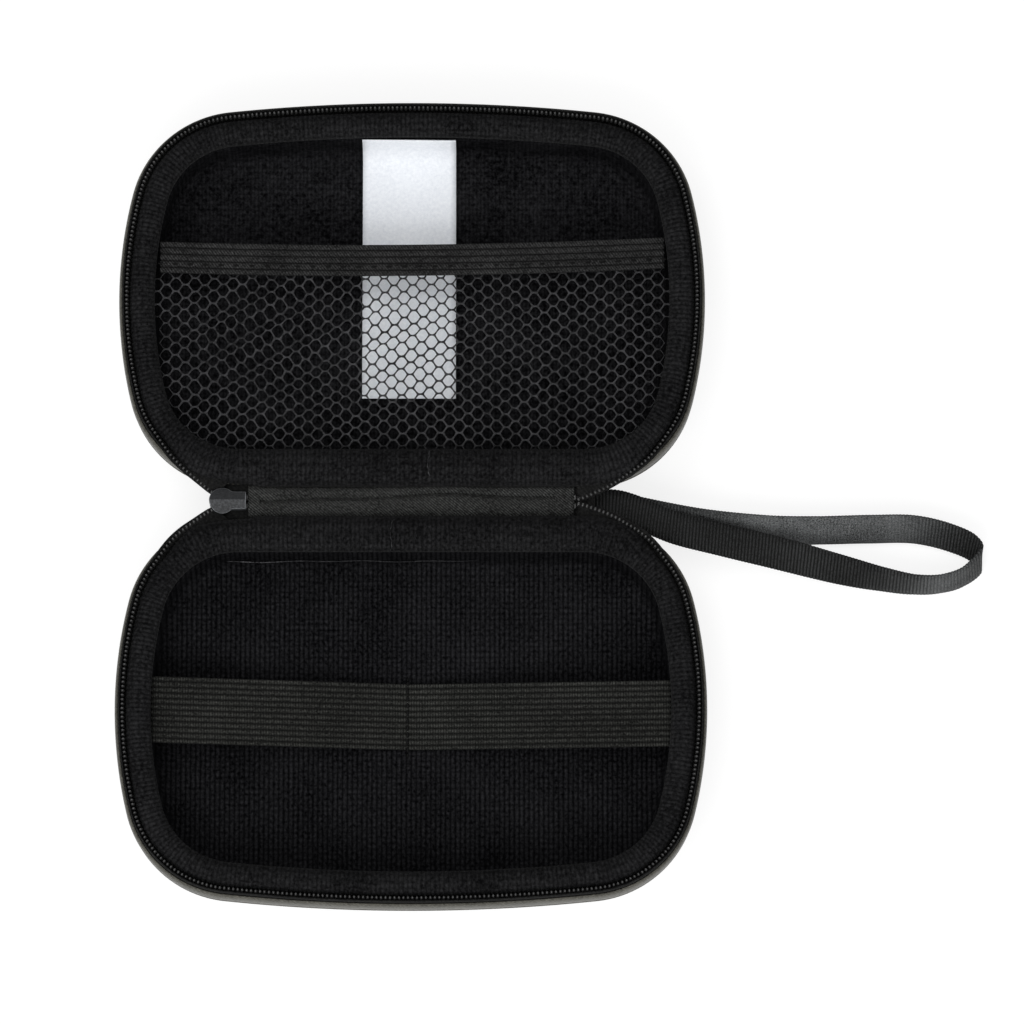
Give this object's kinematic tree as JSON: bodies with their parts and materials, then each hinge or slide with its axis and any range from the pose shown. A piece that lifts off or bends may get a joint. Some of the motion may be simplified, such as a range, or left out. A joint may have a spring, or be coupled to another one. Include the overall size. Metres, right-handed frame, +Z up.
{
  "type": "glucose meter case",
  "caption": "Hard-shell zip case that opens flat like a book, with an elastic strap in the base, a net pocket in the lid, a fabric spine and a webbing wrist loop",
  "frame": {"origin": "middle of the spine's length and width, on the surface that both open halves lie on", "axes": "+X along the spine towards the wrist strap, +Y from the base to the lid, +Z up out of the open halves"},
  "size_m": [0.2483, 0.2364, 0.0217],
  "materials": {
    "satin_skin": "satin",
    "velour": "matte ribbed velour",
    "knit": "matte ribbed knit",
    "twill": "matte twill",
    "zip_tape": "matte woven",
    "zip_coil": "semi-gloss nylon",
    "elastic": "ribbed elastic",
    "net": "knitted net",
    "satin_label": "bare satin",
    "thread": "thread",
    "gunmetal": "satin gunmetal",
    "webbing": "ribbed grosgrain"
  },
  "bodies": {
    "base": {"base_shell": "satin_skin", "base_lining": "velour", "base_rim_binding": "knit", "base_hinge_welt": "twill", "base_zip_tape": "zip_tape", "base_zip_coil": "zip_coil", "elastic_strap": "elastic", "strap_stitch": "thread", "wrist_strap": "webbing"},
    "spine": {"spine_panel": "satin_skin", "spine_tape": "twill", "spine_tab_left": "twill", "spine_tab_right": "twill", "chain_end_left": "zip_coil", "chain_end_right": "zip_coil", "slider_body": "gunmetal", "strap_anchor": "webbing"},
    "lid": {"lid_shell": "satin_skin", "lid_lining": "velour", "lid_rim_binding": "knit", "lid_hinge_welt": "twill", "lid_zip_tape": "zip_tape", "lid_zip_coil": "zip_coil", "pocket_net": "net", "pocket_elastic": "elastic", "fabric_label": "satin_label"},
    "pull": {"pull_tab": "gunmetal"}
  },
  "joints": [
    {"name": "spine_fold", "type": "hinge", "parent": "base", "child": "spine", "pos_m": [0, -0.005, 0.017], "axis": [1, 0, 0], "range_deg": [0, 90]},
    {"name": "lid_fold", "type": "hinge", "parent": "spine", "child": "lid", "pos_m": [0, 0.005, 0.017], "axis": [1, 0, 0], "range_deg": [0, 90]},
    {"name": "pull_swing", "type": "hinge", "parent": "spine", "child": "pull", "pos_m": [-0.0529, 0, 0.0126], "axis": [0, 1, 0], "range_deg": [-34, 140]}
  ],
  "couplings": [
    {"joint": "lid_fold", "follows": "spine_fold", "ratio": 1}
  ]
}
